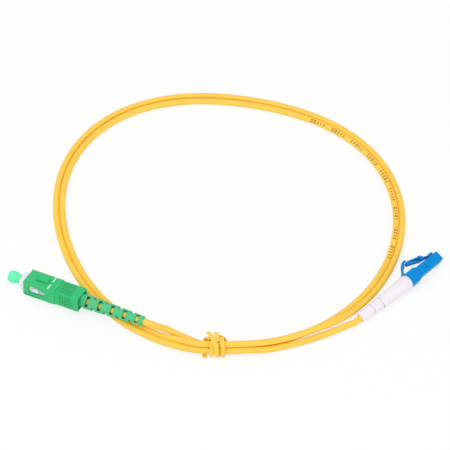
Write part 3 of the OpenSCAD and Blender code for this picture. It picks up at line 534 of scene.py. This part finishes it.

# %% [markdown]
# ## The springs in the plugs
# Behind each ferrule a spring pushes it forward. A spring is a wire on a spiral, which the Spiral node
# draws; here it keeps one length and does not shorten as its ferrule goes back. It is made standing up,
# so the finished mesh is laid down along its plug's axis by the plug's matrix.

# %% Two springs from a spiral
coil_spring, given, out = new_tree("coil spring", {"Turns": "Float", "Radius": "Float", "Wire": "Float",
                                                   "Length": "Float", "Finish": "Material"})
spiral = step(coil_spring, "GeometryNodeCurveSpiral", {
    "Resolution": 28, "Rotations": given.outputs["Turns"], "Start Radius": given.outputs["Radius"],
    "End Radius": given.outputs["Radius"], "Height": given.outputs["Length"]})
half_wire = maths(coil_spring, "DIVIDE", given.outputs["Wire"], 2)
wire = step(coil_spring, "GeometryNodeCurvePrimitiveCircle", {"Resolution": 10, "Radius": half_wire})
end_tree(coil_spring, filled_tube(coil_spring, spiral.outputs[0], wire.outputs[0]), given, out)
LAY_DOWN = Matrix.Rotation(math.radians(90), 4, "Y")
# the plug, the spring's front and back on its axis, its mean radius and wire, the joint and its travel
SPRINGS = {
    "sc_spring": (big_plug, 5.7, 10.55, 1.95, 0.5, "sc_ferrule_float", 1),
    "lc_spring": (small_plug, 7.25, 11.15, 1.345, 0.36, "lc_ferrule_float", 0.8),
}
for name, (plug, x0, x1, radius, wire_d, joint, travel) in SPRINGS.items():
    lay = plug @ Matrix.Translation((x0 + wire_d / 2, 0, 0)) @ LAY_DOWN
    spring = grow("wound_" + name, coil_spring, None, lay, Turns=6.0, Radius=radius * MM, Wire=wire_d * MM,
                  Length=(x1 - x0 - wire_d) * MM, Finish=FINISHES["spring steel"])
    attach(spring, "cord")
    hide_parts(name)
    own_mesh(spring)

# %% [markdown]
# ## The yarn under the crimps
# Behind the spring the cord's yarn is folded back over a barrel, and the crimp grips it there. Yarn
# repeats by rule: it is one strand copied round a circle, and each copy leans a little by chance, from
# a fixed seed.

# %% Yarn folded back over the barrels
# how many strands, how thick in mm, how far out they lie, and how much each may lean in radians
STRANDS, STRAND, YARN_R, LEAN, LEAN_SEED = 40, 0.2, 1.64, 0.02, 4
yarn, given, out = new_tree("yarn round a barrel", {"Strands": "Int", "Radius": "Float", "Strand": "Float",
                                                    "Length": "Float", "Finish": "Material"})
places = step(yarn, "GeometryNodeMeshCircle", {"Vertices": given.outputs["Strands"],
                                               "Radius": given.outputs["Radius"]})
reach = step(yarn, "ShaderNodeCombineXYZ", {"Z": given.outputs["Length"]})
one = step(yarn, "GeometryNodeCurvePrimitiveLine", {"End": reach.outputs[0]})
half_strand = maths(yarn, "DIVIDE", given.outputs["Strand"], 2)
thick = step(yarn, "GeometryNodeCurvePrimitiveCircle", {"Resolution": 6, "Radius": half_strand})
strand_mesh = filled_tube(yarn, one.outputs[0], thick.outputs[0])
lean = step(yarn, "FunctionNodeRandomValue", {0: (-LEAN, -LEAN, 0), 1: (LEAN, LEAN, 0), "Seed": LEAN_SEED},
            data_type="FLOAT_VECTOR")
laid = step(yarn, "GeometryNodeInstanceOnPoints", {"Points": places.outputs[0], "Instance": strand_mesh,
                                                   "Rotation": lean.outputs[0]})
end_tree(yarn, laid.outputs[0], given, out)
for name, plug, x0, x1 in (("sc_yarn", big_plug, 20.35, 24.7), ("lc_yarn", small_plug, 20.85, 24.1)):
    lay = plug @ Matrix.Translation((x0, 0, 0)) @ LAY_DOWN
    strands = grow("strands_" + name, yarn, None, lay, Strands=STRANDS, Radius=YARN_R * MM, Strand=STRAND * MM,
                   Length=(x1 - x0) * MM, Finish=FINISHES["aramid"])
    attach(strands, "cord")
    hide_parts(name)

# %% [markdown]
# ## Moulded shells
# A mould has no knife edges. Each shell is a copy of its solid with the doubled points merged, the flat
# faces joined, and a narrow bevel run along every sharp edge, so that edges catch a line of light. The
# bevel is kept well under the thinnest wall.

# %% Soften the edges of the shells
# points nearer than DOUBLE are one, faces that turn less than FLAT join, edges that turn more than
# SHARP are softened
DOUBLE, FLAT, SHARP = 1e-6, math.radians(0.6), math.radians(28)


def softened(node, radius, finish_name):
    piece = bpy.data.objects.new("moulded_" + node, frame["nodes"][node].data.copy())
    bpy.context.scene.collection.objects.link(piece)
    shape = bmesh.new()
    shape.from_mesh(piece.data)
    bmesh.ops.remove_doubles(shape, verts=shape.verts, dist=DOUBLE)
    bmesh.ops.dissolve_limit(shape, angle_limit=FLAT, verts=shape.verts, edges=shape.edges)
    shape.to_mesh(piece.data)
    shape.free()
    piece.data.materials.clear()
    piece.data.materials.append(FINISHES[finish_name])
    piece.data.shade_smooth()
    edges = piece.modifiers.new("soft edges", "BEVEL")
    edges.width = radius * MM
    edges.segments = 2
    edges.limit_method = "ANGLE"
    edges.angle_limit = SHARP
    edges.harden_normals = True
    body = next(b for b, nodes in frame["record"]["behaviour"]["bodies"].items() if node in nodes)
    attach(piece, body)
    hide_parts(node)
    return piece


# the bevel's width in mm and the finish of each shell
SHELLS = {
    "sc_grip": (0.12, "grip green"), "sc_marks": (0.02, "mark white"), "sc_plug_frame": (0.08, "frame white"),
    "sc_boot": (0.1, "boot green"), "sc_dust_cap": (0.12, "cap mint"), "lc_housing": (0.1, "shell blue"),
    "lc_latch": (0.1, "shell blue"), "lc_body": (0.1, "shell blue"), "lc_trigger": (0.1, "shell blue"),
    "lc_boot": (0.12, "boot white"),
}
for node, (radius, finish_name) in SHELLS.items():
    shell = softened(node, radius, finish_name)
    print(shell.name, "edges rounded by", radius, "mm")

# %% [markdown]
# ## The pieces inside
# What sits inside the plugs keeps its solid, since its shape is right, and gets a finish of its own:
# polished ceramic, turned brass, nickel, alloy and glass.

# %% Finishes for the solids that stay
INSIDE = {
    "sc_ferrule": "ceramic", "lc_ferrule": "ceramic", "sc_flange": "flange brass", "lc_flange": "flange brass",
    "sc_fibre": "glass thread", "lc_fibre": "glass thread", "sc_stop_body": "stop nickel",
    "sc_crimp": "crimp alloy", "lc_crimp": "crimp alloy", "sc_guide_tube": "liner", "lc_guide_tube": "liner",
}
for node, finish_name in INSIDE.items():
    mesh = frame["nodes"][node].data
    mesh.materials.clear()
    mesh.materials.append(FINISHES[finish_name])
print(len(INSIDE), "inner solids dressed")

# %% [markdown]
# ## Table and light
# The cord lies on a plain white table under an even white sky. One broad lamp high on the left gives a
# soft highlight, and a low one on the right lights the undersides. The table is white to the camera, to
# reflections and to light through clear parts, and keeps a little of its own shading, so a faint shadow
# grounds the cord.

# %% The table
# all in metres: half the table's side, and how far it lies below the cord's lowest point
TABLE_HALF, TABLE_DROP = 8, 0.00002
CORNERS = ((-1, -1), (1, -1), (1, 1), (-1, 1))
table_mesh = bpy.data.meshes.new("table")
table_mesh.from_pydata([(x * TABLE_HALF, y * TABLE_HALF, -TABLE_DROP) for x, y in CORNERS], [], [(0, 1, 2, 3)])
table = bpy.data.objects.new("table", table_mesh)
bpy.context.scene.collection.objects.link(table)


def seen_ray(tree):
    rays = step(tree, "ShaderNodeLightPath")
    seen = maths(tree, "MAXIMUM", rays.outputs["Is Camera Ray"], rays.outputs["Is Glossy Ray"])
    return maths(tree, "MAXIMUM", seen, rays.outputs["Is Transmission Ray"])


white_table = bpy.data.materials.new("white table")
white_table.use_nodes = True
tree = white_table.node_tree
tree.nodes.clear()
TABLE_GREY, TABLE_GLOW, GLOW_SHARE = 0.9, 1.03, 0.75
plain = step(tree, "ShaderNodeBsdfDiffuse", {"Color": (TABLE_GREY, TABLE_GREY, TABLE_GREY, 1)})
glow = step(tree, "ShaderNodeEmission", {"Color": (1, 1, 1, 1), "Strength": TABLE_GLOW})
share = maths(tree, "MULTIPLY", seen_ray(tree), GLOW_SHARE)
mixed = step(tree, "ShaderNodeMixShader", {0: share, 1: plain.outputs[0], 2: glow.outputs[0]})
step(tree, "ShaderNodeOutputMaterial", {"Surface": mixed.outputs[0]})
table_mesh.materials.append(white_table)
print("table is", 2 * TABLE_HALF, "m wide, so no edge shows from a low side view")

# %% The sky and the lamps
world = bpy.data.worlds.new("even sky")
bpy.context.scene.world = world
world.use_nodes = True
tree = world.node_tree
tree.nodes.clear()
SKY_LIGHT, SKY_MORE = 0.72, 0.28
level = maths(tree, "ADD", SKY_LIGHT, maths(tree, "MULTIPLY", seen_ray(tree), SKY_MORE))
sky = step(tree, "ShaderNodeBackground", {"Color": (1, 1, 1, 1), "Strength": level})
step(tree, "ShaderNodeOutputWorld", {"Surface": sky.outputs[0]})
# name, side in metres, power in watts and place of each lamp, and the spot both are turned to
LAMPS = (("broad lamp", 0.9, 5.0, (-0.45, -0.35, 1.15)), ("low lamp", 0.5, 1.0, (0.62, -0.62, 0.3)))
LAMPS_AIM = Vector((0, 0.02, 0))
for name, size, energy, place in LAMPS:
    lamp_data = bpy.data.lights.new(name, "AREA")
    lamp_data.size = size
    lamp_data.energy = energy
    lamp = bpy.data.objects.new(name, lamp_data)
    lamp.location = place
    lamp.rotation_euler = (LAMPS_AIM - lamp.location).to_track_quat("-Z", "Y").to_euler()
    bpy.context.scene.collection.objects.link(lamp)
    print(name, "stands", round(lamp.location.length, 2), "m away")
bpy.context.scene.view_settings.view_transform = "Standard"
print("light is shown as it falls:", bpy.context.scene.view_settings.view_transform)
